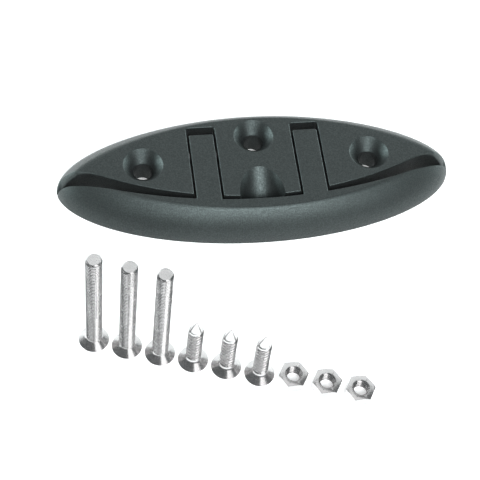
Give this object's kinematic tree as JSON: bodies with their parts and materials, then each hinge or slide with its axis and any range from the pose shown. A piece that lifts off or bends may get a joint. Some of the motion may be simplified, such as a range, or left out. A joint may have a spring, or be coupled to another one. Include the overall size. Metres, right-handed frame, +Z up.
{
  "type": "folding cleat",
  "caption": "Folding deck cleat: a lens-shaped base with countersunk screw holes and a horn on legs that hinges up from flush to upright, with its loose fasteners.",
  "frame": {"origin": "on the deck, under the middle of the base", "axes": "+X along the cleat, +Y towards its hinge side, +Z up from the deck"},
  "size_m": [0.13, 0.1084, 0.045],
  "materials": {
    "nylon": "charcoal nylon, finely matt on the flat top, spark-grained on the rounded side, in the countersinks and in the finger scoop",
    "pin_steel": "ground stainless rod",
    "fastener_steel": "bright stainless steel with rolled threads"
  },
  "bodies": {
    "base_body": {"base": "nylon", "hinge_pin_left": "pin_steel", "hinge_pin_right": "pin_steel", "machine_screw_1": "fastener_steel", "machine_screw_2": "fastener_steel", "machine_screw_3": "fastener_steel", "tapping_screw_1": "fastener_steel", "tapping_screw_2": "fastener_steel", "tapping_screw_3": "fastener_steel", "hex_nut_1": "fastener_steel", "hex_nut_2": "fastener_steel", "hex_nut_3": "fastener_steel"},
    "horn_body": {"horn": "nylon"}
  },
  "joints": [
    {"name": "horn_hinge", "type": "hinge", "parent": "base_body", "child": "horn_body", "pos_m": [0, 0.0067, 0.0057], "axis": [-1, 0, 0], "range_deg": [0, 90]}
  ]
}
